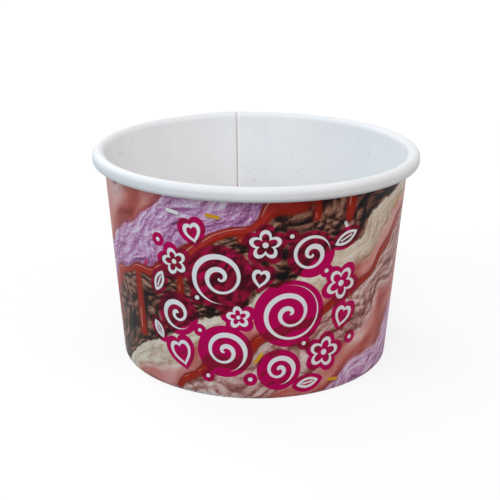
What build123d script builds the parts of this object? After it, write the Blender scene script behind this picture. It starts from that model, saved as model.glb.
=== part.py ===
import math
import os

from build123d import *

# Single-wall paper dessert cup, in millimetres. It stands on z = 0 with its axis on Z.
# Its front looks along -Y, and the side lap is at the back.

# Overall sizes
rim_diameter = 96.0  # over the rolled rim
cup_height = 62.8
foot_diameter = 80.6  # of the wall's printed face, carried down to the floor

# Side wall board, with its rim curl
wall_board = 0.35
bead_width = 3.6  # from the food face of the wall to the outside of the curl
bead_height = 4.0
curl_clearance = 0.08  # between the curl's inner turn and the doubled wall
tail_inner_radius = 0.25  # inside the last turn, where the lap doubles the board
tail_turn = 60.0  # degrees that the edge turns on, inside the curl

# Side lap, which is at the back
lap_width = 7.4  # between the two raw edges, round the middle of the wall
lap_edge_offset = 6.2  # from the back of the cup to the raw edge on the inside
lap_ramp = 1.2  # round the wall, in which the upper layer steps over the raw edge
pressed_height = 1.5  # up to which the two layers are pressed into one, at the foot
bevel_height = 1.5  # above it, in which they thicken to two
tail_step = 6.0  # degrees that the upper layer ends short of the lower one, inside the curl
embedded_share = 0.5  # of the board, by which a laid-on layer is sunk into the one below

# Foot: the hem of the side wall folded up round the skirt of the base
foot_recess = 7.0  # from the floor to the underside of the base
hem_gap = 0.7  # from the hem's raw edge to the bend of the base

# Base disc
base_board = 0.35
base_corner_radius = 0.5
seal_film = 0.02  # melted coating on each side of the skirt
skirt_clearance = 0.3  # from the skirt's raw edge to the fold under it

# Chords that a turn of the board is drawn in
bead_chord_count = 3  # in each quarter of the curl's top
lower_chord_count = 4
tail_chord_count = 1
fold_chord_count = 2
bend_chord_count = 2

# Azimuth of the back, and directions in the section, in degrees
back = 90
outward = 0
upward = 90
inward = 180
downward = 270
full_turn = 360

# The curl's first turn is as wide as the bead, and the wall runs into it as its tangent
rim_radius = rim_diameter / 2
foot_radius = foot_diameter / 2
bead_radius = bead_width / 2
bead_centre = (rim_radius - bead_radius, cup_height - bead_radius)
lean_run = bead_centre[0] - foot_radius
lean_length = math.hypot(lean_run, bead_centre[1])
taper = math.atan2(lean_run, bead_centre[1]) - math.asin((bead_radius - wall_board) / lean_length)
slope = math.tan(taper)
lean = math.degrees(taper)
across = 1 / math.cos(taper)  # a thickness of the leaning board, measured level
food_foot_radius = foot_radius - wall_board * across

# Steps in the section: up the wall, and out through it
up_wall = (math.sin(taper), math.cos(taper))
out_wall = (math.cos(taper), -math.sin(taper))


def food_radius(height):
    # Radius of the wall's food face, a cone, at a height
    return food_foot_radius + height * slope


def inside_wall(height, distance):
    # A point at a height, a distance inward from the wall's food face, square to it
    return (food_radius(height) - distance * across, height)


def shifted(point, step, distance):
    return (point[0] + distance * step[0], point[1] + distance * step[1])


def turn(centre, radius, start, end, chords):
    # Points round an arc between two directions
    angles = [math.radians(start + (end - start) * step / chords) for step in range(chords + 1)]
    return [shifted(centre, (math.cos(angle), math.sin(angle)), radius) for angle in angles]


def turned(outline):
    return revolve(Plane.XZ * Face(Wire.make_polygon(outline, close=True)), Axis.Z, full_turn)


# The lower turn of the curl fills the room between the rim's outside and the doubled wall,
# and the tail is the board's edge, which goes on turning inside it
doubled = 2 * wall_board
lower_turn_bottom = cup_height - bead_height
lower_turn_room = rim_radius - food_radius(lower_turn_bottom) - doubled * across - curl_clearance
lower_turn_radius = lower_turn_room / (2 + slope)
lower_turn_centre = (rim_radius - lower_turn_radius, lower_turn_bottom + lower_turn_radius)
tail_radius = tail_inner_radius + doubled
tail_centre = (rim_radius - 2 * lower_turn_radius + tail_radius, lower_turn_centre[1])
tail_end = inward - tail_turn


# The hem leaves room for the skirt and its coating
skirt_room = base_board + 2 * seal_film
hem_height = foot_recess - base_corner_radius - hem_gap


def curl_face(depth, end):
    # One face of the curl, a depth below the food face, up to a direction in the tail
    return [
        *turn(bead_centre, bead_radius - depth, inward - lean, upward, bead_chord_count),
        *turn(bead_centre, bead_radius - depth, upward, outward, bead_chord_count)[1:],
        *turn(lower_turn_centre, lower_turn_radius - depth, full_turn, inward, lower_chord_count),
        *turn(tail_centre, tail_radius - depth, inward, end, tail_chord_count)[1:],
    ]


def board_outline():
    # The board from the raw edge of the hem to that of the tail, folded sharp on its food side
    hem_fold = inside_wall(wall_board, skirt_room)
    wall_fold = inside_wall(wall_board, 0)
    hem_top = inside_wall(hem_height, skirt_room)
    food_side = [hem_top, hem_fold, wall_fold, *curl_face(0, tail_end)]
    print_side = [
        shifted(hem_top, out_wall, -wall_board),
        *turn(hem_fold, wall_board, inward - lean, downward, fold_chord_count),
        *turn(wall_fold, wall_board, downward, full_turn - lean, fold_chord_count),
        *curl_face(wall_board, tail_end),
    ]
    return food_side + print_side[::-1]


def layer(near, far, end, azimuth):
    # A layer between two depths, which tapers out above the pressed foot, as a face at an azimuth
    pressed = inside_wall(pressed_height, -near)
    bevel = inside_wall(pressed_height + bevel_height, -far)
    outline = [pressed, *curl_face(near, end), *curl_face(far, end)[::-1], bevel]
    return Rot(Z=azimuth) * (Plane.XZ * Face(Wire.make_polygon(outline, close=True)))


def sidewall():
    # One board all round. The lap's upper layer is laid on it and ramps down over the raw edge,
    # which shows on the food side as a step that fades out round the wall.
    middle_radius = food_radius(cup_height / 2)
    raw_edge = back + math.degrees(math.asin(lap_edge_offset / middle_radius))
    lap_angle = math.degrees(lap_width / middle_radius)
    ramp_end = raw_edge + math.degrees(lap_ramp / middle_radius)
    embedded = wall_board * embedded_share
    sunk = wall_board - embedded

    upper_layer = layer(sunk, doubled, tail_end + tail_step, raw_edge)
    ramp_foot = layer(sunk, sunk + embedded / 2, tail_end + tail_step, ramp_end)
    lap = revolve(upper_layer, Axis.Z, -lap_angle) + loft([upper_layer, ramp_foot], ruled=True)

    step_edge = layer(-embedded, wall_board, tail_end - tail_step, raw_edge)
    step_end = layer(-embedded, -embedded / 2, tail_end - tail_step, ramp_end)
    return turned(board_outline()) + lap - loft([step_edge, step_end], ruled=True)


def base_disc():
    # A flat disc whose edge is drawn down into a skirt that leans with the wall
    corner_height = foot_recess - base_corner_radius
    bend_radius = base_corner_radius + base_board
    bend = inside_wall(corner_height, seal_film + bend_radius)
    skirt_length = (corner_height - wall_board - skirt_clearance) * across
    outside = turn(bend, bend_radius, upward, -lean, bend_chord_count)
    underside = turn(bend, base_corner_radius, upward, -lean, bend_chord_count)
    return turned([
        (0, foot_recess + base_board),
        *outside,
        shifted(outside[-1], up_wall, -skirt_length),
        shifted(underside[-1], up_wall, -skirt_length),
        *underside[::-1],
        (0, foot_recess),
    ])


os.makedirs("parts", exist_ok=True)
export_step(sidewall(), "parts/sidewall.step")
export_step(base_disc(), "parts/base_disc.step")
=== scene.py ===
import math

import bpy
import numpy as np
from mathutils import Matrix


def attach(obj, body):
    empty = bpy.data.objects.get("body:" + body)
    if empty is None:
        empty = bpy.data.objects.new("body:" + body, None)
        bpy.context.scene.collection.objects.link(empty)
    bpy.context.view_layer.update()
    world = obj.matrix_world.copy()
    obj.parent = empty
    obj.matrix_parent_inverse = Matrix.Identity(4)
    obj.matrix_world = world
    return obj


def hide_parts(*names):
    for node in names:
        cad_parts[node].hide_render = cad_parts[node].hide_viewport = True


# A paper dessert cup. Shapes are worked out in millimetres and put into the meshes in metres.
# The cup stands on z = 0, its axis is Z, its front looks along -Y and its side lap is at the back.

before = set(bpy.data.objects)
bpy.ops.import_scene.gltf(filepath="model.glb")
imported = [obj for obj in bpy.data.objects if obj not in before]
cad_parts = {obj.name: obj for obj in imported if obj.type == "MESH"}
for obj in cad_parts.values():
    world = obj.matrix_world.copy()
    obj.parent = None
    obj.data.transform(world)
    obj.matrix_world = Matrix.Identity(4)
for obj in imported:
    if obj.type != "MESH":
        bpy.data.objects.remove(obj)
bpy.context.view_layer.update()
millimetre = 0.001

cup = {
    "rimDiameter": 96.0,
    "height": 62.8,
    "footDiameter": 80.6,
    "board": 0.35,
    "beadWidth": 3.6,
    "beadHeight": 4.0,
    "curlClearance": 0.08,
    "tailInnerRadius": 0.25,
    "tailTurn": 60.0,
    "foldInnerRadius": 0.05,
    "footRecess": 7.0,
    "hemGap": 0.7,
    "baseCorner": 0.5,
    "sealFilm": 0.02,
    "skirtClearance": 0.3,
    "printRadius": 42.4,  # at which a millimetre of the print is a millimetre round the wall
}

fineness = {
    # points along the section of the wall's board
    "hem": 5,
    "hemFold": 6,
    "foot": 2,
    "wallFold": 6,
    "wall": 32,
    "bead": 26,
    "rimSide": 2,
    "lowerTurn": 16,
    "tail": 4,
    # columns round the cup: in the lap, past its two raw edges, and in the rest of the wall
    "lapColumns": 16,
    "rampColumns": 6,
    "stepColumns": 8,
    "wallColumns": 336,
}


def leaningWall():
    # The lean of the wall's food face: the line from the foot that is a tangent of the rim's bead
    beadRadius = cup["beadWidth"] / 2
    run = cup["rimDiameter"] / 2 - beadRadius - cup["footDiameter"] / 2
    rise = cup["height"] - beadRadius
    reach = math.hypot(run, rise)
    return math.atan2(run, rise) - math.asin((beadRadius - cup["board"]) / reach)


taper = leaningWall()
slope = math.tan(taper)
across = 1 / math.cos(taper)  # a thickness of the leaning board, measured level
upWall = np.array([math.sin(taper), math.cos(taper)])
outWall = np.array([math.cos(taper), -math.sin(taper)])
foodFootRadius = cup["footDiameter"] / 2 - cup["board"] * across


def foodRadius(height):
    # The wall's food face is a cone
    return foodFootRadius + height * slope


def insideWall(height, distance):
    # A point of the section at a height, a distance in from the food face, square to it
    return np.array([foodRadius(height) - distance * across, height])


def straight(start, end, normal, count):
    # Points at even steps from start towards end, with one normal
    steps = np.arange(count)[:, None] / count
    return start + (end - start) * steps, np.tile(normal, (count, 1))


def arc(centre, radius, start, end, count, side):
    # Points at centre + radius * (cos, sin) of evenly stepped angles; the normal is side * (cos, sin)
    angles = np.radians(start + (end - start) * np.arange(count) / count)
    spokes = np.stack([np.cos(angles), np.sin(angles)], axis=1)
    return np.asarray(centre) + radius * spokes, side * spokes


def boardPath():
    # The food face of the wall's board, from the edge of the hem, round the foot, up the wall
    # and round the curl, with normals that point through the board to its printed side. Each
    # run stops a step short of its end, where the next one starts, and the last goes a step on.
    lean = math.degrees(taper)
    inner = cup["foldInnerRadius"]
    foldHeight = inner + cup["board"]
    skirtRoom = cup["board"] + 2 * cup["sealFilm"]
    hemHeight = cup["footRecess"] - cup["baseCorner"] - cup["hemGap"]
    hemTop = insideWall(hemHeight, skirtRoom)
    hemFold = insideWall(foldHeight, skirtRoom - inner)
    wallFold = insideWall(foldHeight, inner)
    drop = np.array([0, inner])

    rim = cup["rimDiameter"] / 2
    beadRadius = cup["beadWidth"] / 2
    beadCentre = np.array([rim - beadRadius, cup["height"] - beadRadius])
    bottom = cup["height"] - cup["beadHeight"]
    room = rim - foodRadius(bottom) - 2 * cup["board"] * across - cup["curlClearance"]
    lowerRadius = room / (2 + slope)
    lowerCentre = np.array([rim - lowerRadius, bottom + lowerRadius])
    tailRadius = cup["tailInnerRadius"] + 2 * cup["board"]
    tailCentre = np.array([rim - 2 * lowerRadius + tailRadius, lowerCentre[1]])
    tailEnd = 180 - cup["tailTurn"] * (1 + 1 / fineness["tail"])
    sideTop = np.array([rim, beadCentre[1]])
    sideBottom = np.array([rim, lowerCentre[1]])
    runs = [
        straight(hemTop, hemFold - outWall * inner, -outWall, fineness["hem"]),
        arc(hemFold, inner, 180 - lean, 270, fineness["hemFold"], 1),
        straight(hemFold - drop, wallFold - drop, np.array([0, -1]), fineness["foot"]),
        arc(wallFold, inner, -90, -lean, fineness["wallFold"], 1),
        straight(wallFold + outWall * inner, beadCentre - outWall * beadRadius, outWall, fineness["wall"]),
        arc(beadCentre, beadRadius, 180 - lean, 0, fineness["bead"], -1),
        straight(sideTop, sideBottom, np.array([-1, 0]), fineness["rimSide"]),
        arc(lowerCentre, lowerRadius, 0, -180, fineness["lowerTurn"], -1),
        arc(tailCentre, tailRadius, 180, tailEnd, fineness["tail"] + 1, -1),
    ]
    points = np.concatenate([run[0] for run in runs])
    normals = np.concatenate([run[1] for run in runs])
    # Unrolled, the hem lies below the fold
    unrolled = points[:, 1].copy()
    unrolled[:fineness["hem"] + fineness["hemFold"] + fineness["foot"] // 2] *= -1
    return points, normals, unrolled


lap = {
    "width": 7.4,
    "edgeOffset": 6.2,
    "ramp": 0.55,
    "pressedHeight": 1.5,
    "bevelHeight": 1.5,
    "seal": 0.012,  # between the two layers
    "skiveTop": 0.22,  # the slant of the inner raw edge, as seen from inside
    "skiveFoot": 0.48,
    "outerSkive": 0.12,
}

unevenness = {
    "wallWaves": [(2, 0.10, 40.0), (3, 0.07, 205.0), (5, 0.035, 120.0)],  # waves, mm, degrees
    "rimWaves": [(2, 0.06, 75.0), (4, 0.035, 10.0), (7, 0.02, 300.0)],
    "rimRise": 0.24,  # of the rim beside the lap
    "rimRiseAt": 105.0,  # degrees round the cup
    "rimRiseHalf": 17.0,
    "lapDent": 0.07,  # beside the outer raw edge, where the single board bends more
    "lapDentAt": 86.0,
    "lapDentHalf": 2.6,
    "lapDentFoot": (6.0, 14.0),  # heights between which it deepens, and fades again
    "lapDentTop": (56.0, 61.0),
}


def smoothStep(value, start, end):
    share = np.clip((value - start) / (end - start), 0, 1)
    return share * share * (3 - 2 * share)


def roundFrom(azimuth, start):
    # Degrees round the cup from a direction, from -180 to 180
    return (azimuth - start + 180) % 360 - 180


def wrapAngles(lapAngle, rampAngle):
    # Columns lie close in the lap and where the board steps up or down
    return np.concatenate([
        np.linspace(0, lapAngle, fineness["lapColumns"], endpoint=False),
        np.linspace(lapAngle, lapAngle + rampAngle, fineness["rampColumns"], endpoint=False),
        np.linspace(lapAngle + rampAngle, 360 - rampAngle, fineness["wallColumns"], endpoint=False),
        np.linspace(360 - rampAngle, 360, fineness["stepColumns"], endpoint=False),
        np.linspace(360, 360 + lapAngle, fineness["lapColumns"] + 1),
    ])


def wrappedBoard():
    # A point at wrap angle w, station s and depth d lies at P(s) + d * N(s) in the section, turned
    # to the azimuth of the inner raw edge less w. The depth of each face depends on w: over the lap
    # the board steps up by its own thickness, and at the foot both layers share one thickness.
    board = cup["board"]
    middle = foodRadius(cup["height"] / 2)
    startAzimuth = 90 + math.degrees(math.asin(lap["edgeOffset"] / middle))
    lapAngle = math.degrees(lap["width"] / middle)
    rampAngle = math.degrees(lap["ramp"] / middle)
    wrap = wrapAngles(lapAngle, rampAngle)
    points, normals, unrolled = boardPath()
    height = points[:, 1][:, None]
    print("wall board:", len(points), "stations,", len(wrap), "columns")

    bevelEnd = lap["pressedHeight"] + lap["bevelHeight"]
    pressed = 1 - smoothStep(height, lap["pressedHeight"], bevelEnd)
    under = 1 - smoothStep(wrap, lapAngle, lapAngle + rampAngle)[None, :]
    over = smoothStep(wrap, 360 - rampAngle, 360)[None, :]
    near = over * (board * (1 - pressed / 2) + lap["seal"])
    far = board + over * board * (1 - pressed) + over * lap["seal"] - under * pressed * board / 2

    # Both raw edges are cut at a slant, which brings their cores into view
    rise = np.clip(height / cup["height"], 0, 1)
    skive = np.degrees((lap["skiveFoot"] + (lap["skiveTop"] - lap["skiveFoot"]) * rise) / middle)
    outerSkive = math.degrees(lap["outerSkive"] / middle)
    squeeze = np.clip(1 - wrap[None, :] / lapAngle, 0, 1)
    outerSqueeze = np.clip(1 - (360 + lapAngle - wrap[None, :]) / lapAngle, 0, 1)
    foodWrap = wrap[None, :] + skive * squeeze
    printWrap = wrap[None, :] - outerSkive * outerSqueeze + 0 * height

    def placed(angle, depth):
        azimuth = startAzimuth - angle
        radius = points[:, 0][:, None] + depth * normals[:, 0][:, None]
        level = points[:, 1][:, None] + depth * normals[:, 1][:, None]
        lift = np.clip(level / cup["height"], 0, 1)
        for waves, amount, phase in unevenness["wallWaves"]:
            radius = radius + amount * lift * (1 - lift) * 2 * np.cos(np.radians(waves * (azimuth - phase)))
        for waves, amount, phase in unevenness["rimWaves"]:
            level = level + amount * lift ** 6 * np.cos(np.radians(waves * (azimuth - phase)))
        beside = roundFrom(azimuth, unevenness["rimRiseAt"]) / unevenness["rimRiseHalf"]
        level = level + unevenness["rimRise"] * np.clip(1 - beside ** 2, 0, 1) ** 2 * lift ** 8
        beside = roundFrom(azimuth, unevenness["lapDentAt"]) / unevenness["lapDentHalf"]
        deep = smoothStep(level, *unevenness["lapDentFoot"])
        deep = deep * (1 - smoothStep(level, *unevenness["lapDentTop"]))
        radius = radius + unevenness["lapDent"] * np.exp(-beside ** 2) * deep
        turn = np.radians(azimuth)
        return np.stack([radius * np.cos(turn), radius * np.sin(turn), level], axis=-1)

    def blank(angle):
        # Place on the flat blank: millimetres round the wall from the front, millimetres up
        around = np.radians(startAzimuth + 90 - angle) * cup["printRadius"]
        flat = np.broadcast_to(unrolled[:, None], around.shape)
        return np.stack([around, flat, 0 * around], axis=-1)

    faces = np.stack([placed(foodWrap, near), placed(printWrap, far)])
    return faces, np.stack([blank(foodWrap), blank(printWrap)])


def gridQuads(rows, columns, first=0):
    # Corners of the quads of a grid whose points are numbered row by row
    index = first + np.arange(rows * columns).reshape(rows, columns)
    return np.stack([index[:-1, :-1], index[1:, :-1], index[1:, 1:], index[:-1, 1:]], axis=-1).reshape(-1, 4)


def edgeQuads(near, far):
    # Quads between two lines of points
    return np.stack([near[:-1], near[1:], far[1:], far[:-1]], axis=-1)


def newObject(name, data):
    made = bpy.data.objects.new(name, data)
    bpy.context.collection.objects.link(made)
    return made


def meshPiece(name, points, faces, materialIndex, materials, flatFaces, blanks=None):
    mesh = bpy.data.meshes.new(name)
    mesh.from_pydata((points.reshape(-1, 3) * millimetre).tolist(), [], faces)
    for material in materials:
        mesh.materials.append(material)
    mesh.polygons.foreach_set("material_index", np.asarray(materialIndex, dtype=np.int32))
    flat = mesh.attributes.new("sharp_face", "BOOLEAN", "FACE")
    flat.data.foreach_set("value", np.asarray(flatFaces, dtype=bool))
    if blanks is not None:
        attribute = mesh.attributes.new("blank", "FLOAT_VECTOR", "POINT")
        attribute.data.foreach_set("vector", blanks.reshape(-1).astype(np.float32))
    mesh.update()
    mesh.validate()
    return newObject(name, mesh)


# Materials

class Term:
    # A socket of a material. An expression on Terms adds the Math nodes that work it out.
    def __init__(self, maker, socket):
        self.maker = maker
        self.socket = socket

    def __add__(self, other):
        return self.maker.math("ADD", self, other)

    def __radd__(self, other):
        return self.maker.math("ADD", other, self)

    def __sub__(self, other):
        return self.maker.math("SUBTRACT", self, other)

    def __rsub__(self, other):
        return self.maker.math("SUBTRACT", other, self)

    def __mul__(self, other):
        return self.maker.math("MULTIPLY", self, other)

    def __rmul__(self, other):
        return self.maker.math("MULTIPLY", other, self)

    def __truediv__(self, other):
        return self.maker.math("DIVIDE", self, other)

    def __rtruediv__(self, other):
        return self.maker.math("DIVIDE", other, self)

    def __abs__(self):
        return self.maker.math("ABSOLUTE", self)


class Finish:
    # The nodes of a material or of the world, under construction
    def __init__(self, holder):
        self.holder = holder
        holder.use_nodes = True
        self.tree = holder.node_tree
        self.tree.nodes.clear()

    def add(self, kind, settings=None, inputs=None, output=0):
        # A node of a type, its settings first and then the values or links of its sockets
        node = self.tree.nodes.new(kind)
        for name, value in (settings or {}).items():
            if name == "stops":
                self.setStops(node.color_ramp, value)
            elif name == "interpolation":
                node.color_ramp.interpolation = value
            else:
                setattr(node, name, value)
        for name, value in (inputs or {}).items():
            if isinstance(value, Term):
                self.tree.links.new(value.socket, node.inputs[name])
            else:
                node.inputs[name].default_value = value
        return Term(self, node.outputs[output]) if len(node.outputs) else node

    def setStops(self, ramp, stops):
        while len(ramp.elements) > 1:
            ramp.elements.remove(ramp.elements[0])
        ramp.elements[0].position = stops[0][0]
        ramp.elements[0].color = (*stops[0][1], 1)
        for position, colour in stops[1:]:
            ramp.elements.new(position).color = (*colour, 1)

    def math(self, operation, *values, clamp=False):
        settings = {"operation": operation, "use_clamp": clamp}
        return self.add("ShaderNodeMath", settings, dict(enumerate(values)))

    def clamp(self, value):
        return self.math("ADD", value, 0.0, clamp=True)

    def above(self, value, edge, softness):
        # 0 below the edge and 1 above it, with a soft step; a negative softness turns it round
        return self.math("MULTIPLY_ADD", value, 1 / softness, 0.5 - edge / softness, clamp=True)

    def roughness(self, value, board):
        # Up and down from the board's roughness, as a field from 0 to 1 goes
        reach = board["roughnessReach"]
        return self.math("MULTIPLY_ADD", value, reach, board["roughness"] - reach / 2)

    def length(self, x, y):
        return self.math("SQRT", x * x + y * y)

    def most(self, values):
        total = values[0]
        for value in values[1:]:
            total = self.math("MAXIMUM", total, value)
        return total

    def point(self, x, y):
        return self.add("ShaderNodeCombineXYZ", {}, {0: x, 1: y})

    def axis(self, vector, index):
        return self.add("ShaderNodeSeparateXYZ", {}, {0: vector}, index)

    def noise(self, place, scale, detail, roughness, distortion=0.0, output=0):
        inputs = {"Vector": place, "Scale": scale, "Detail": detail, "Roughness": roughness}
        inputs["Distortion"] = distortion
        return self.add("ShaderNodeTexNoise", {"noise_dimensions": "3D"}, inputs, output)

    def mix(self, factor, first, second):
        settings = {"data_type": "RGBA", "clamp_factor": True}
        pair = [value if isinstance(value, Term) else (*value, 1) for value in (first, second)]
        return self.add("ShaderNodeMix", settings, {0: factor, 6: pair[0], 7: pair[1]}, 2)

    def ramp(self, value, stops, interpolation="LINEAR"):
        return self.add("ShaderNodeValToRGB", {"stops": stops, "interpolation": interpolation}, {0: value})

    def bump(self, height, strength, distance):
        return self.add("ShaderNodeBump", {}, {"Strength": strength, "Distance": distance, "Height": height})

    def objectPlace(self):
        return self.add("ShaderNodeTexCoord", {}, {}, 3)

    def blankPlace(self):
        # The place on the flat blank: as a vector, round the wall from the front, and up
        blank = self.add("ShaderNodeAttribute", {"attribute_name": "blank"}, {}, 1)
        return blank, self.axis(blank, 0), self.axis(blank, 1)

    def backdropRay(self):
        # 1 for a ray from the camera, or one that the object reflects or lets through
        return self.most([self.add("ShaderNodeLightPath", {}, {}, output) for output in (0, 3, 6)])

    def surface(self, inputs):
        # The shader; what is the same all over is a number on its own socket
        shader = self.add("ShaderNodeBsdfPrincipled", {}, inputs)
        self.add("ShaderNodeOutputMaterial", {}, {0: shader})
        return self.holder


def newFinish(name):
    return Finish(bpy.data.materials.new(name))


def tone(red, green, blue):
    # A colour as seen on a screen, from 0 to 255, as light
    levels = [value / 255 for value in (red, green, blue)]
    return tuple(value / 12.92 if value <= 0.04045 else ((value + 0.055) / 1.055) ** 2.4 for value in levels)


whiteBoard = {
    "colour": tone(248, 248, 247),
    "shadeColour": tone(234, 234, 235),
    "cloudScale": 90.0,
    "grainScale": 2600.0,
    "grainDepth": 0.00003,
    "roughness": 0.42,
    "roughnessReach": 0.14,
    "reflection": 0.25,
    # specks in the coating: round the wall, up, radius
    "specks": [
        (135.4, 42.8, 0.16), (133.8, 40.2, 0.20), (119.6, 43.4, 0.18), (120.9, 48.1, 0.14),
        (92.2, 54.1, 0.16), (69.7, 57.3, 0.26), (-87.8, 59.5, 0.20), (-40.0, 22.0, 0.15),
        (18.0, 30.5, 0.17), (-110.5, 12.0, 0.15),
    ],
    "scratch": [(-78.3, 56.5), (-81.5, 56.35)],
    "scratchHalf": 0.07,
    "speckColour": tone(150, 148, 146),
    "speckShare": 0.65,
    # a thin, bright painted highlight over the coating by the inner raw edge
    "edgeHighlightAt": 138.45,
    "edgeHighlightColour": (1.0, 1.0, 1.0),
    "edgeHighlightShare": 0.5,
    # and a painted shade where the board bends down off the outer one: round the wall, half width
    "bend": (130.4, 1.7),
    "bendTop": 58.5,
    "bendShadeColour": tone(236, 238, 244),
    "bendShadeShare": 0.55,
}


def segmentDistance(make, x, y, start, end):
    # The distance to a straight stroke: along it, what lies past its ends; across it, all
    reach = math.hypot(end[0] - start[0], end[1] - start[1])
    c, s = (end[0] - start[0]) / reach, (end[1] - start[1]) / reach
    dx, dy = x - (start[0] + end[0]) / 2, y - (start[1] + end[1]) / 2
    past = make.math("MAXIMUM", abs(dx * c + dy * s) - reach / 2, 0.0)
    return make.length(past, dy * c - dx * s)


def coating(make, place, board):
    # Broad clouds and fine grain take the coating from its shade to its colour; gives the grain too
    cloud = make.noise(place, board["cloudScale"], 3.0, 0.6)
    grain = make.noise(place, board["grainScale"], 3.0, 0.6)
    mottle = make.clamp(cloud * 0.7 + grain * 1.6 - 0.65)
    return make.mix(mottle, board["shadeColour"], board["colour"]), grain


def whiteBoardFinish():
    make = newFinish("whiteCoatedBoard")
    colour, grain = coating(make, make.objectPlace(), whiteBoard)
    around, upwards = make.blankPlace()[1:]
    # Painted shade: a band beside the lap is tinted darker and bluer, fading out towards the rim
    bendAt, bendHalf = whiteBoard["bend"]
    bendShade = make.clamp(1 - abs(around - bendAt) / bendHalf)
    bendShade = bendShade * make.above(upwards, whiteBoard["bendTop"], -4.0) * whiteBoard["bendShadeShare"]
    colour = make.mix(bendShade, colour, whiteBoard["bendShadeColour"])
    # Painted highlight: the coating turns white next to the inner raw edge
    edgeHighlight = make.above(around, whiteBoard["edgeHighlightAt"], 0.3)
    colour = make.mix(edgeHighlight * whiteBoard["edgeHighlightShare"], colour, whiteBoard["edgeHighlightColour"])

    marks = [whiteBoard["scratchHalf"] - segmentDistance(make, around, upwards, *whiteBoard["scratch"])]
    for speckAround, speckUp, radius in whiteBoard["specks"]:
        marks.append(radius - make.length(around - speckAround, upwards - speckUp))
    marked = make.above(make.most(marks), 0.0, 0.2)
    colour = make.mix(marked * whiteBoard["speckShare"], colour, whiteBoard["speckColour"])
    return make.surface({
        "Base Color": colour,
        "Roughness": make.roughness(grain, whiteBoard),
        "Normal": make.bump(grain, 0.35, whiteBoard["grainDepth"]),
        "Specular IOR Level": whiteBoard["reflection"],
        "IOR": 1.5,
    })


rawEdge = {
    "coreTop": tone(212, 200, 194),
    "coreFoot": tone(184, 118, 106),
    "coreMiddle": 34.0,  # height half way from one colour to the other
    "coreBlend": 46.0,
    "stripe": tone(230, 216, 208),
    "stripeShare": 0.5,
    "fibreScale": 3.0,
    "fibreDepth": 0.00003,
    "roughness": 0.9,
}


def rawEdgeFinish():
    make = newFinish("rawBoardEdge")
    blank, _, upwards = make.blankPlace()
    fibres = make.noise(blank, rawEdge["fibreScale"], 4.0, 0.7)
    rise = make.above(upwards, rawEdge["coreMiddle"], rawEdge["coreBlend"])
    core = make.mix(rise, rawEdge["coreFoot"], rawEdge["coreTop"])
    striped = make.above(fibres, 0.62, 0.2) * rawEdge["stripeShare"]
    return make.surface({
        "Base Color": make.mix(striped, core, rawEdge["stripe"]),
        "Normal": make.bump(fibres, 0.5, rawEdge["fibreDepth"]),
        "Roughness": rawEdge["roughness"],
        "IOR": 1.45,
    })


# Fields of light and shade: how they are stretched along and across, the step to where they are
# compared, and the settings of their noise or crumbs
reliefs = {
    "ridges": ((0.20, 0.36), (-0.55, 0.8), (4.0, 0.6)),
    "pores": ((0.9, 1.1), (-0.25, 0.35), (2.0, 0.6)),
    "swell": ((0.05, 0.11), (-1.6, 2.6), (1.0, 0.5)),
    "crumbs": ((0.30, 0.40), (-0.5, 0.65), (0.3,)),
    "curds": ((0.30, 0.52), (-0.3, 0.55), (0.55,)),
}

# Each flavour's colours from shade to light, and what picks them: a level plus shares of the fields
flavours = {
    "berry": {
        "colours": [tone(96, 44, 88), tone(176, 108, 160), tone(218, 164, 206), tone(252, 238, 250)],
        "level": 0.50,
        "shares": {"curds": 0.5, "ridges": 1.5, "pores": 0.6, "volume": 1.0},
    },
    "chocolate": {
        "colours": [tone(8, 7, 9), tone(52, 30, 28), tone(118, 76, 62), tone(182, 134, 112)],
        "level": 0.50,
        "shares": {"crumbs": 1.0, "ridges": 1.3, "pores": 0.6, "volume": 0.8, "cracks": -0.24},
    },
    "vanilla": {
        "colours": [tone(144, 104, 80), tone(212, 186, 160), tone(238, 222, 200), tone(254, 250, 240)],
        "level": 0.50,
        "shares": {"curds": 0.25, "ridges": 1.0, "pores": 0.4, "volume": 1.1},
    },
    "malt": {
        "colours": [tone(104, 46, 42), tone(164, 108, 100), tone(210, 164, 156), tone(244, 222, 214)],
        "level": 0.54,
        "shares": {"crumbs": 0.8, "ridges": 0.9, "pores": 0.5, "volume": 1.0, "cracks": -0.12},
    },
    "glaze": {
        "colours": [tone(142, 52, 46), tone(196, 98, 90), tone(222, 146, 138), tone(244, 204, 196)],
        "level": 0.46,
        "shares": {"ridges": 0.35, "swell": 1.4, "roundness": 0.5},
    },
}

bands = {
    "slope": 30.0,  # degrees that the bands rise to the right
    "period": 74.0,  # across the bands
    # where each band begins across them, how softly, and its flavour
    "order": [
        (0.0, 1.0, "malt"),
        (13.0, 1.6, "glaze"),
        (19.5, 2.4, "vanilla"),
        (27.0, 0.8, "chocolate"),
        (46.0, 0.8, "berry"),
        (63.0, 2.0, "glaze"),
        (72.5, 2.4, "malt"),
    ],
    "wanderScale": 0.055,
    "wander": 18.0,  # from side to side
    "raggedness": 2.6,  # of their borders
    "ribbonShade": 0.42,  # share of a ribbon's width that is in shade
    "roundness": 0.26,  # share of each in the volume of the ribbons
    "swell": 0.9,
}

sprinkles = {
    # from which share of the rods on, and colour
    "colours": [(0.0, tone(232, 168, 44)), (0.45, tone(250, 246, 240)), (0.75, tone(214, 60, 120))],
    "shadeColour": tone(52, 24, 26),
    "shadeStep": (0.35, -0.4),
    "shadeShare": 0.55,
    "density": 0.085,  # scattered points in a millimetre
    "scatter": 0.6,
    "share": 0.34,  # of the points that carry a rod
    "halfLength": 1.5,
    "halfWidth": 0.52,
}

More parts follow.
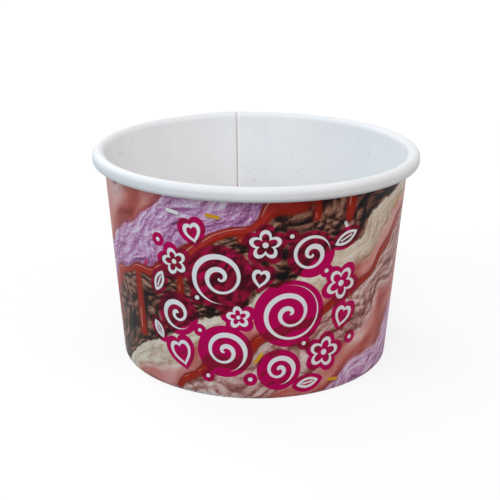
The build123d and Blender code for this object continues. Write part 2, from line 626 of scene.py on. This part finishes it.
sauce = {
    "dark": tone(146, 34, 22),
    "bright": tone(184, 42, 20),
    "shineColour": tone(246, 190, 168),
    "shadeColour": tone(92, 26, 24),
    "shadeShare": 0.4,
    "shineShare": 0.75,
    "cover": 0.93,
    "upperAt": 46.8,  # across the bands
    "lowerAt": 13.4,
    "lowerShare": 0.7,  # of the upper run's width
    # half a run's width is flowWidth times the flow, less flowLoss
    "flowScale": 0.09,
    "flowWidth": 5.4,
    "flowLoss": 0.4,
    "melt": 2.2,  # how softly a drop leaves the run
    # drops that hang from the upper run: round the cup, half width, length
    "drops": [
        (-37.0, 1.8, 19.0), (-29.0, 1.4, 9.0), (-21.0, 1.2, 13.0), (-3.5, 1.3, 8.0),
        (16.0, 1.2, 7.5), (26.0, 1.7, 15.0), (34.5, 1.3, 8.5),
    ],
    "dropPeriod": 88.0,  # round the wall, after which the drops come again
}


def smoothField(make, x, y, detail, roughness):
    return make.noise(make.point(x, y), 1.0, detail, roughness, 0.3)


def crumbField(make, x, y, softness):
    # Rounded crumbs: the distance to the nearest of scattered points
    settings = {"voronoi_dimensions": "2D", "feature": "SMOOTH_F1"}
    inputs = {"Vector": make.point(x, y), "Scale": 1.0, "Smoothness": softness}
    return make.add("ShaderNodeTexVoronoi", settings, inputs)


def raked(make, field, x, y, stretch, step, settings):
    # The difference of a field and the same field a step away, like light raking over its ridges
    here = field(make, x * stretch[0], y * stretch[1], *settings)
    there = field(make, (x + step[0]) * stretch[0], (y + step[1]) * stretch[1], *settings)
    return there - here


def reliefFields(make, around, upwards, x, y, along, cross):
    # Light and shade of the textures: pores lie on the wall itself, crumbs wander with the bands,
    # and the rest run along them
    fields = {
        "ridges": raked(make, smoothField, along, cross, *reliefs["ridges"]),
        "pores": raked(make, smoothField, around, upwards, *reliefs["pores"]),
        "swell": raked(make, smoothField, along, cross, *reliefs["swell"]),
    }
    x, y = x + fields["pores"], y + fields["pores"]
    fields["crumbs"] = raked(make, crumbField, x, y, *reliefs["crumbs"])
    stretch, _, settings = reliefs["crumbs"]
    pits = crumbField(make, x * stretch[0], y * stretch[1], *settings)
    fields["cracks"] = make.above(pits, 0.56, 0.22)
    ruffle = fields["ridges"] * 6
    fields["curds"] = raked(make, crumbField, along + ruffle, cross + ruffle, *reliefs["curds"])
    return fields


def ribbonRoundness(make, line):
    # Light on the upper side of each ribbon and shade below it
    starts = [start for start, _, _ in bands["order"][:-1]]
    total = 0.0
    for low, high in zip(starts, starts[1:] + [bands["period"]]):
        span = (line - low) / (high - low)
        within = make.above(line, low, 0.6) - make.above(line, high, 0.6)
        total = (span - bands["ribbonShade"]) * within + total
    return total


def flavourColour(make, flavour, fields):
    total = flavour["level"]
    for name, share in flavour["shares"].items():
        total = fields[name] * share + total
    stops = list(zip((0.0, 0.36, 0.6, 1.0), flavour["colours"]))
    return make.ramp(make.clamp(total), stops)


def sprinkleField(make, x, y):
    # Rods at scattered points, each turned its own way: how far inside a rod a point is
    settings = {"voronoi_dimensions": "2D", "feature": "F1"}
    inputs = {"Vector": make.point(x, y), "Scale": sprinkles["density"]}
    inputs["Randomness"] = sprinkles["scatter"]
    chance = make.add("ShaderNodeTexVoronoi", settings, inputs, 1)
    middle = make.add("ShaderNodeTexVoronoi", settings, inputs, 2)
    pick = make.axis(chance, 0)
    lean = make.axis(chance, 1) * 6.28  # a whole turn
    dx = x - make.axis(middle, 0)
    dy = y - make.axis(middle, 1)
    c, s = make.math("COSINE", lean), make.math("SINE", lean)
    past = make.math("MAXIMUM", abs(dx * c + dy * s) - sprinkles["halfLength"], 0.0)
    inside = sprinkles["halfWidth"] - make.length(past, dy * c - dx * s)
    return inside - make.above(pick, sprinkles["share"], 0.01) * 9.0, pick


def withSprinkles(make, colour, around, upwards):
    stepAround, stepUp = sprinkles["shadeStep"]
    rods, pick = sprinkleField(make, around, upwards)
    shade = sprinkleField(make, around - stepAround, upwards - stepUp)[0]
    shaded = make.above(shade, 0.0, 0.5) * sprinkles["shadeShare"]
    colour = make.mix(shaded, colour, sprinkles["shadeColour"])
    # The picks of the rods that show end near a third
    rodColour = make.ramp(pick * 3.0, sprinkles["colours"], "CONSTANT")
    return make.mix(make.above(rods, 0.0, 0.14), colour, rodColour)


def withSauce(make, colour, around, along, line):
    # Sauce along two of the borders, wider and narrower as it runs. A point is inside it by half its
    # width, less the distance to its middle. Drops hang from the upper run: each is a round-ended
    # strip, straight down the wall, that melts into the run.
    lean = math.radians(bands["slope"])
    flow = make.noise(make.point(along, 0.0), sauce["flowScale"], 2.0, 0.5)
    halfWidth = flow * sauce["flowWidth"] - sauce["flowLoss"]
    below = (sauce["upperAt"] - line) / math.cos(lean)
    inside = halfWidth - abs(below)
    shine = make.clamp((0.3 - abs(below + halfWidth * 0.4)) * 4) * make.above(flow, 0.5, 0.1)

    half = sauce["dropPeriod"] / 2
    repeated = make.math("WRAP", around, half, -half)
    for dropAt, width, length in sauce["drops"]:
        side = repeated - dropAt
        fallen = below - side * math.tan(lean)
        past = make.math("MAXIMUM", fallen - (length - width), 0.0)
        thick = make.clamp(fallen / length) * (width * 0.35) + width * 0.65
        drop = make.math("MINIMUM", thick - make.length(side, past), below + 1.0)
        inside = make.math("SMOOTH_MAX", inside, drop, sauce["melt"])
        ahead = make.math("MAXIMUM", abs(fallen - length * 0.76) - length * 0.07, 0.0)
        glint = width * 0.17 - make.length(side + width * 0.3, ahead)
        shine = make.math("MAXIMUM", shine, make.clamp(glint * 3.5))

    lower = line - sauce["lowerAt"]
    inside = make.math("MAXIMUM", inside, halfWidth * sauce["lowerShare"] - abs(lower))
    lowerShine = make.clamp((0.25 - abs(lower - halfWidth * 0.3)) * 4) * make.above(flow, 0.54, 0.1)
    shine = make.math("MAXIMUM", shine, lowerShine)

    shaded = make.above(inside, -0.5, 1.2) * sauce["shadeShare"]
    colour = make.mix(shaded, colour, sauce["shadeColour"])
    flowing = make.mix(make.above(inside, 0.9, 1.6), sauce["dark"], sauce["bright"])
    flowing = make.mix(shine * sauce["shineShare"], flowing, sauce["shineColour"])
    return make.mix(make.above(inside, 0.0, 0.4) * sauce["cover"], colour, flowing)


def iceCreamBands(make, around, upwards):
    # Diagonal bands of ice cream, each rounded like a piped ribbon, with sauce run between them
    flat = make.point(around, upwards)
    lean = math.radians(bands["slope"])
    wander = make.noise(flat, bands["wanderScale"], 1.0, 0.5, 0.0, 1)
    x = around + (make.axis(wander, 0) - 0.5) * bands["wander"]
    y = upwards + (make.axis(wander, 1) - 0.5) * bands["wander"]
    along = x * math.cos(lean) + y * math.sin(lean)
    cross = y * math.cos(lean) - x * math.sin(lean)
    fields = reliefFields(make, around, upwards, x, y, along, cross)

    # Across the bands, from low at the right of the foot to high at the left of the rim
    fine = make.noise(flat, 0.42, 3.0, 0.6)
    ragged = cross + (fine - 0.5) * bands["raggedness"]
    ragged = make.math("WRAP", ragged, bands["period"], 0.0)
    line = make.math("WRAP", cross, bands["period"], 0.0)
    fields["roundness"] = ribbonRoundness(make, line)
    fields["volume"] = fields["roundness"] * bands["roundness"] + fields["swell"] * bands["swell"]
    colours = {name: flavourColour(make, flavour, fields) for name, flavour in flavours.items()}
    colour = colours[bands["order"][0][2]]
    for start, softness, name in bands["order"][1:]:
        colour = make.mix(make.above(ragged, start, softness), colour, colours[name])
    colour = withSprinkles(make, colour, around, upwards)
    return withSauce(make, colour, around, along, line)


swirls = {
    "white": tone(250, 250, 250),
    # the magenta ink, darker over dark parts of the print, by their lightness
    "magenta": [
        (0.0, tone(66, 8, 28)),
        (0.03, tone(120, 16, 42)),
        (0.13, tone(152, 22, 54)),
        (0.30, tone(198, 0, 92)),
    ],
    "halo": 2.0,  # width of the magenta round a motif
    "stroke": 0.56,  # half the width of a white line
    "period": 88.0,  # round the wall, after which the motifs come again
    # across, up, size, gap between turns, start of the arm, hand
    "spirals": [
        (-9.5, 36.5, 7.8, 3.7, 0.10, 1), (9.5, 26.0, 8.4, 3.9, 0.35, 1),
        (-8.5, 14.5, 6.4, 3.5, 0.80, -1), (15.0, 43.0, 5.2, 3.1, 0.55, -1),
        (-22.5, 24.0, 5.0, 3.0, 0.65, 1), (7.0, 9.0, 4.8, 3.0, 0.05, -1),
    ],
    # across, up, size, petals, turn in degrees
    "blossoms": [
        (2.6, 46.4, 4.0, 5, 18.0), (24.6, 33.0, 4.4, 5, 50.0), (-22.5, 39.5, 3.6, 5, 0.0),
        (20.5, 12.8, 4.4, 5, 30.0), (-4.5, 25.2, 3.0, 5, 10.0),
    ],
    # across, up, size, lean in degrees
    "hearts": [
        (-21.8, 11.8, 2.9, 18.0), (26.0, 22.6, 2.3, -16.0),
        (-16.5, 48.6, 2.0, 14.0), (1.4, 36.6, 1.9, -8.0),
    ],
    # across, up, half length, half width, lean in degrees
    "leaves": [
        (25.2, 46.2, 3.3, 1.35, 24.0), (-28.2, 32.6, 3.0, 1.25, 66.0),
        (15.8, 4.0, 2.9, 1.2, 8.0), (-29.6, 17.6, 2.4, 1.1, 120.0),
    ],
    # across, up, radius
    "dots": [
        (9.4, 48.6, 0.6), (19.6, 37.6, 0.6), (-16.0, 30.0, 0.65), (-1.2, 6.2, 0.65), (14.0, 16.6, 0.6),
        (-15.6, 20.2, 0.55), (-27.5, 45.0, 0.6), (29.5, 15.5, 0.65), (-13.6, 6.4, 0.6),
    ],
}


# Each motif takes a point measured from its middle, and gives how far the point is inside its stroke
# and inside the patch of colour round it

def spiralMotif(make, x, y, size, pitch, start, hand):
    # An arm that grows by its pitch each turn, inside a round patch
    radius = make.length(x, y)
    arm = radius / pitch - make.math("ARCTAN2", y, x) * (hand / (2 * math.pi))
    gap = abs(make.math("FRACT", arm + start) - 0.5) * pitch
    width = swirls["stroke"] + (y - x * (hand * 0.5)) / (radius + 0.5) * 0.2
    outside = radius - size
    ink = width - make.math("MAXIMUM", gap, outside + swirls["stroke"])
    return ink, swirls["halo"] * 0.8 - outside


def blossomMotif(make, x, y, size, petals, turn):
    # A ring that goes in and out with its petals, round a dot
    radius = make.length(x, y)
    angle = make.math("ARCTAN2", y, x)
    petal = abs(make.math("SINE", (angle + math.radians(turn)) * (petals / 2)))
    away = (radius - (petal * 0.42 + 0.52) * size) * 0.86
    ink = make.math("MAXIMUM", swirls["stroke"] * 0.85 - abs(away), size * 0.2 - radius)
    return ink, swirls["halo"] - away


def turned(x, y, lean):
    c, s = math.cos(math.radians(lean)), math.sin(math.radians(lean))
    return x * c + y * s, y * c - x * s


def heartMotif(make, x, y, size, lean):
    # A circle whose places are lifted by the root of their distance from the middle line
    x, y = turned(x, y, lean)
    x, y = x / size, y / size
    lobe = y - make.math("SQRT", abs(x)) * 0.72 + 0.22
    away = (make.length(x, lobe) - 1.0) * size
    return swirls["stroke"] * 0.85 - abs(away), swirls["halo"] - away


def leafMotif(make, x, y, halfLength, halfWidth, lean):
    # Each side of a leaf is an arc through its two tips
    x, y = turned(x, y, lean)
    bow = (halfLength ** 2 + halfWidth ** 2) / (2 * halfWidth)
    away = make.length(x, abs(y) + (bow - halfWidth)) - bow
    vein = make.math("MAXIMUM", abs(y), abs(x) - halfLength * 0.5)
    ink = make.math("MAXIMUM", swirls["stroke"] * 0.7 - abs(away), swirls["stroke"] * 0.45 - vein)
    return ink, swirls["halo"] * 0.85 - away


def dotMotif(make, x, y, radius):
    away = make.length(x, y) - radius
    return 0 - away, swirls["halo"] * 0.7 - away


def swirlFields(make, x, y):
    kinds = {
        "spirals": spiralMotif,
        "blossoms": blossomMotif,
        "hearts": heartMotif,
        "leaves": leafMotif,
        "dots": dotMotif,
    }
    inks, patches = [], []
    for kind, motif in kinds.items():
        for atX, atY, *form in swirls[kind]:
            ink, patch = motif(make, x - atX, y - atY, *form)
            inks.append(ink)
            patches.append(patch)
    print("print:", len(inks), "motifs")
    return make.most(inks), make.most(patches)


printedBoard = {
    "fibreScale": 2.2,
    "fibreDepth": 0.00003,
    "roughness": 0.40,
    "roughnessReach": 0.12,
    "reflection": 0.09,
}

footWearAndShade = {
    "height": 1.3,  # up the wall, and down the hem
    "scale": 1.5,
    "amount": 0.90,  # the higher, the fewer chips
    "worn": (-14.0, 15.0, 0.19),  # a stretch with more of them: round the wall, half width, by how much
    "knurlPitch": 1.5,  # of the marks that the crimping wheel leaves on the hem
    "knurlTop": -1.2,  # heights on the hem are negative
    "knurlDepth": 2.0,  # times the fibre's
    # painted shade along the fold at the foot, and its share
    "dark": tone(70, 26, 40),
    "foldShadeShare": 0.5,
    "bare": tone(226, 214, 212),
    "bareShare": 0.9,
    "bareRoughness": 0.3,  # more than the print's
}


def footChips(make, around, upwards, low):
    # Where the board is folded at the foot, its ink has chipped off in places; low is 1 at the fold
    patchy = make.noise(make.point(around, upwards * 2.0), footWearAndShade["scale"], 3.0, 0.65)
    spread = make.noise(make.point(around, 0.0), 0.05, 1.0, 0.5)
    wornAt, wornHalf, wornMore = footWearAndShade["worn"]
    worn = make.clamp(1 - abs(around - wornAt) / wornHalf) * wornMore
    chipped = patchy + low * 0.16 + spread * 0.4 + worn
    return make.above(chipped, footWearAndShade["amount"], 0.03) * make.above(low, 0.25, 0.1)


def printedBoardFinish():
    make = newFinish("printedBoard")
    blank, around, upwards = make.blankPlace()
    colour = iceCreamBands(make, around, upwards)
    lightness = make.add("ShaderNodeRGBToBW", {}, {0: colour})
    half = swirls["period"] / 2
    ink, patch = swirlFields(make, make.math("WRAP", around, half, -half), upwards)
    colour = make.mix(make.above(patch, 0.0, 0.12), colour, make.ramp(lightness, swirls["magenta"]))
    colour = make.mix(make.above(ink, 0.0, 0.12), colour, swirls["white"])

    low = 1 - make.clamp(abs(upwards) / footWearAndShade["height"])
    chips = footChips(make, around, upwards, low)
    # Painted shade: darker along the fold at the foot, on the wall and on the hem
    colour = make.mix(low * footWearAndShade["foldShadeShare"], colour, footWearAndShade["dark"])
    colour = make.mix(chips * footWearAndShade["bareShare"], colour, footWearAndShade["bare"])
    knurls = make.math("SINE", around * (2 * math.pi / footWearAndShade["knurlPitch"]))
    fibre = make.noise(blank, printedBoard["fibreScale"], 3.0, 0.6)
    knurls = knurls * make.above(upwards, footWearAndShade["knurlTop"], -0.8)
    relief = fibre + knurls * footWearAndShade["knurlDepth"]
    return make.surface({
        "Base Color": colour,
        "Roughness": make.roughness(fibre, printedBoard) + chips * footWearAndShade["bareRoughness"],
        "Normal": make.bump(relief, 0.25, printedBoard["fibreDepth"]),
        "Specular IOR Level": printedBoard["reflection"],
        "IOR": 1.5,
    })


def buildWall():
    faces, blanks = wrappedBoard()
    rows, columns = faces.shape[1], faces.shape[2]
    count = rows * columns
    index = np.arange(count).reshape(rows, columns)
    food = gridQuads(rows, columns)[:, ::-1]
    printed = gridQuads(rows, columns, count)
    edges = np.concatenate([
        edgeQuads(index[:, 0] + count, index[:, 0]),
        edgeQuads(index[:, -1], index[:, -1] + count),
        edgeQuads(index[0], index[0] + count),
        edgeQuads(index[-1] + count, index[-1]),
    ])
    quads = np.concatenate([food, printed, edges]).tolist()
    materials = [printedBoardFinish(), whiteBoardFinish(), rawEdgeFinish()]
    kinds = np.repeat([1, 0, 2], [len(food), len(printed), len(edges)])
    piece = meshPiece("cupWall", faces, quads, kinds, materials, kinds == 2, blanks)
    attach(piece, "root")
    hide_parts("sidewall")
    print("cupWall:", len(quads), "faces")


baseBoard = {
    "thickness": 0.35,
    "columns": 240,
    "radialPoints": 14,
    "crowding": 0.7,  # under 1, the points lie closer towards the edge
    "bendPoints": 9,
    "skirtPoints": 5,
    # short creases at the edge, where the disc is drawn down into its skirt
    "creaseCount": 190,
    "creaseFrom": 36.9,  # mm from the middle
    "creaseReach": 2.2,
    "creaseDepth": 0.00006,
}

baseTop = {
    "colour": tone(232, 232, 231),
    "shadeColour": tone(222, 222, 221),
    # painted shade in the creases at the edge, and its share
    "creaseShadeColour": tone(180, 180, 180),
    "creaseShadeShare": 0.12,
    "cloudScale": 110.0,
    "grainScale": 2400.0,
    "roughness": 0.42,
    "roughnessReach": 0.12,
}

baseUnder = {
    "colour": tone(222, 218, 210),
    "shadeColour": tone(206, 201, 192),
    # painted shade in the creases at the edge, and its share
    "creaseShadeColour": tone(160, 154, 146),
    "creaseShadeShare": 0.15,
    "fleckColour": tone(172, 160, 144),
    "fleckShare": 0.5,
    "cloudScale": 140.0,
    "fibreScale": 3200.0,
    "fleckScale": 1100.0,
    "roughness": 0.85,
}


def edgeCreases(make, place):
    # 0 in the middle of the disc, and 1 on a crease at its edge
    x, y = make.axis(place, 0) / millimetre, make.axis(place, 1) / millimetre
    uneven = make.noise(place, 160.0, 2.0, 0.5)
    wave = make.math("SINE", make.math("ARCTAN2", y, x) * baseBoard["creaseCount"] + uneven * 9)
    outward = make.length(x, y) - baseBoard["creaseFrom"] - uneven * 1.5
    return make.above(wave, 0.72, 0.5) * make.clamp(outward / baseBoard["creaseReach"])


def baseTopFinish():
    make = newFinish("baseTop")
    place = make.objectPlace()
    colour, grain = coating(make, place, baseTop)
    creases = edgeCreases(make, place)
    return make.surface({
        # the creases carry painted shade in the colour, besides their bump
        "Base Color": make.mix(creases * baseTop["creaseShadeShare"], colour, baseTop["creaseShadeColour"]),
        "Roughness": make.roughness(grain, baseTop),
        "Normal": make.bump(grain * 0.3 - creases, 0.4, baseBoard["creaseDepth"]),
        "IOR": 1.5,
    })


def baseUnderFinish():
    make = newFinish("baseUnderside")
    place = make.objectPlace()
    cloud = make.noise(place, baseUnder["cloudScale"], 4.0, 0.65)
    fibre = make.noise(place, baseUnder["fibreScale"], 4.0, 0.7)
    creases = edgeCreases(make, place)
    mottle = make.clamp(cloud * 0.8 + fibre * 1.2 - 0.5)
    colour = make.mix(mottle, baseUnder["shadeColour"], baseUnder["colour"])
    flecks = make.above(make.noise(place, baseUnder["fleckScale"], 1.0, 0.5), 0.76, 0.05)
    colour = make.mix(flecks * baseUnder["fleckShare"], colour, baseUnder["fleckColour"])
    return make.surface({
        # the creases carry painted shade in the colour, besides their bump
        "Base Color": make.mix(creases * baseUnder["creaseShadeShare"], colour, baseUnder["creaseShadeColour"]),
        "Normal": make.bump(fibre * 0.6 - creases, 0.5, baseBoard["creaseDepth"]),
        "Roughness": baseUnder["roughness"],
        "IOR": 1.45,
    })


def baseProfile():
    # From near the middle of the disc straight out, round the bend and down the skirt, on each side
    lean = math.degrees(taper)
    corner = cup["footRecess"] - cup["baseCorner"]
    bendRadius = cup["baseCorner"] + baseBoard["thickness"]
    bend = insideWall(corner, cup["sealFilm"] + bendRadius)
    skirtLength = (corner - cup["board"] - cup["skirtClearance"]) * across
    angles = np.radians(np.linspace(90, -lean, baseBoard["bendPoints"]))
    spokes = np.stack([np.cos(angles), np.sin(angles)], axis=1)
    steps = np.linspace(0, 1, baseBoard["radialPoints"] + 2)[1:-1, None] ** baseBoard["crowding"]
    drops = np.linspace(0, 1, baseBoard["skirtPoints"] + 1)[1:, None] * skirtLength

    def side(radius):
        turn = bend + spokes * radius
        middle = np.array([0, turn[0, 1]])
        return np.concatenate([middle + steps * (turn[0] - middle), turn, turn[-1] - drops * upWall])

    return side(bendRadius), side(cup["baseCorner"])


def buildBase():
    # Each profile point turned round the axis; the two middles are single points
    topSide, underSide = baseProfile()
    profile = np.concatenate([topSide, underSide[::-1]])
    rows, columns = len(profile), baseBoard["columns"]
    turn = np.linspace(0, 2 * math.pi, columns, endpoint=False)
    radius, height = profile[:, 0][:, None], profile[:, 1][:, None]
    ring = np.stack([radius * np.cos(turn), radius * np.sin(turn), height + 0 * turn], axis=-1)
    middles = [[0, 0, topSide[0, 1]], [0, 0, underSide[0, 1]]]
    points = np.concatenate([ring.reshape(-1, 3), middles])
    index = np.arange(rows * columns).reshape(rows, columns)
    following = np.roll(index, -1, axis=1)
    quads = np.stack([index[:-1], index[1:], following[1:], following[:-1]], axis=-1).reshape(-1, 4)
    topFan = [(rows * columns, a, b) for a, b in zip(index[0].tolist(), following[0].tolist())]
    underFan = [(rows * columns + 1, b, a) for a, b in zip(index[-1].tolist(), following[-1].tolist())]
    faces = quads.tolist() + topFan + underFan

    # The raw edge of the skirt is flat, between the two sides
    split = len(topSide)
    kinds = np.repeat([0, 1, 0, 1], [split * columns, (rows - 1 - split) * columns, columns, columns])
    edge = np.repeat(np.arange(rows - 1) == split - 1, columns)
    flat = np.concatenate([edge, np.zeros(2 * columns, bool)])
    piece = meshPiece("cupBase", points, faces, kinds, [baseTopFinish(), baseUnderFinish()], flat)
    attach(piece, "root")
    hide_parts("base_disc")
    print("cupBase:", len(faces), "faces")


def standing(right, upright, backward, place):
    # The matrix of a camera or a lamp, which looks along its own -Z
    matrix = np.eye(4)
    matrix[:3] = np.stack([right, upright, backward, place], axis=1)
    return Matrix(matrix.tolist())


view = {
    "focal": 1066.47,  # in pixels of a picture 500 wide
    "picture": 500,
    "distance": 325.34,
    "aimHeight": 29.853,
    "elevation": 0.33616,  # radians
    "yaw": 0.005002,
    "roll": -0.006445,
}


def buildCamera():
    # The camera looks at a point on the axis from in front and above, then turns a little off it
    rise, level = math.sin(view["elevation"]), math.cos(view["elevation"])
    aimed = np.array([[1, 0, 0], [0, rise, level], [0, level, -rise]])
    c, s = math.cos(view["yaw"]), math.sin(view["yaw"])
    yawTurn = np.array([[c, 0, s], [0, 1, 0], [-s, 0, c]])
    c, s = math.cos(view["roll"]), math.sin(view["roll"])
    rollTurn = np.array([[c, -s, 0], [s, c, 0], [0, 0, 1]])
    right, upright, forward = rollTurn @ yawTurn @ aimed
    place = np.array([0, -view["distance"] * level, view["aimHeight"] + view["distance"] * rise])
    data = bpy.data.cameras.new("camera")
    data.sensor_fit = "HORIZONTAL"
    data.sensor_width = 36.0
    data.lens = view["focal"] * data.sensor_width / view["picture"]
    data.clip_start = 0.01
    data.dof.use_dof = False
    camera = newObject("camera", data)
    camera.matrix_world = standing(right, upright, -forward, place * millimetre)
    bpy.context.scene.camera = camera
    print("camera placed")


studio = {
    "floorReach": 6.0,
    "floorColour": tone(242, 242, 242),
    "floorBounce": tone(150, 150, 150),
    "floorGlow": 1.10,
    "floorGlowNear": 0.70,  # share of it near the cup, where the cup's shadow shows
    "floorGlowFar": 0.94,
    "floorGlowEdge": 0.3,  # metres from the cup, half way from near to far
    "floorGlowBlend": 0.4,
    "worldColour": (0.84, 0.90, 1.0),
    "worldStrength": 0.36,
    "lampAim": (0.0, 0.0, 0.03),
    "lampUp": (0.0, 0.0001, 1.0),  # a little off Z, so that a lamp may hang straight above the cup
    # name, place, size, watts, colour
    "lamps": [
        ("keyLeft", (-0.55, -0.35, 0.45), 0.5, 1.76, (0.73, 0.92, 1.0)),
        ("fillRight", (0.55, -0.35, 0.45), 0.5, 1.26, (1.0, 0.87, 0.80)),
        ("overhead", (0.0, 0.05, 0.75), 0.6, 0.8, (1.0, 0.94, 0.90)),
        ("frontHigh", (0.0, -0.6, 0.75), 0.5, 1.6, (1.0, 0.95, 0.94)),
        ("frontLow", (-0.1, -0.9, 0.35), 0.4, 0.5, (0.94, 0.97, 1.0)),
        ("backLeft", (-0.4, 0.5, 0.5), 0.5, 1.6, (1.0, 0.99, 0.99)),
    ],
}


def buildFloor():
    # A plain floor that glows white away from the cup, and returns less light than it shows
    make = newFinish("studioFloor")
    seen = make.add("ShaderNodeLightPath", {}, {}, 0)
    colour = make.mix(seen, studio["floorBounce"], studio["floorColour"])
    plain = make.add("ShaderNodeBsdfDiffuse", {}, {0: colour})
    glow = make.add("ShaderNodeEmission", {}, {0: (1, 1, 1, 1), 1: studio["floorGlow"]})
    away = make.add("ShaderNodeVectorMath", {"operation": "LENGTH"}, {0: make.objectPlace()}, 1)
    near, far = studio["floorGlowNear"], studio["floorGlowFar"]
    outer = make.above(away, studio["floorGlowEdge"], studio["floorGlowBlend"])
    share = make.backdropRay() * (outer * (far - near) + near)
    both = make.add("ShaderNodeMixShader", {}, {0: share, 1: plain, 2: glow})
    make.add("ShaderNodeOutputMaterial", {}, {0: both})
    mesh = bpy.data.meshes.new("floor")
    reach = studio["floorReach"]
    corners = [(-reach, -reach, 0), (reach, -reach, 0), (reach, reach, 0), (-reach, reach, 0)]
    mesh.from_pydata(corners, [], [(0, 1, 2, 3)])
    mesh.materials.append(make.holder)
    plane = newObject("floor", mesh)
    print("floor laid")


def buildLight():
    make = Finish(bpy.data.worlds.new("studio"))
    pale = (*studio["worldColour"], 1)
    soft = make.add("ShaderNodeBackground", {}, {0: pale, 1: studio["worldStrength"]})
    white = make.add("ShaderNodeBackground", {}, {0: (1, 1, 1, 1), 1: 1.0})
    chosen = make.add("ShaderNodeMixShader", {}, {0: make.backdropRay(), 1: soft, 2: white})
    make.add("ShaderNodeOutputWorld", {}, {0: chosen})
    bpy.context.scene.world = make.holder

    for name, place, size, watts, colour in studio["lamps"]:
        data = bpy.data.lights.new(name, "AREA")
        data.shape = "DISK"
        data.size = size
        data.energy = watts
        data.color = colour
        aim = np.array(studio["lampAim"]) - place
        aim = aim / np.linalg.norm(aim)
        side = np.cross(aim, studio["lampUp"])
        side = side / np.linalg.norm(side)
        lamp = newObject(name, data)
        lamp.matrix_world = standing(side, np.cross(side, aim), -aim, place)
    print("lamps lit:", len(studio["lamps"]))


buildCamera()
buildWall()
buildBase()
buildFloor()
buildLight()

scene = bpy.context.scene
scene.view_settings.view_transform = "Standard"
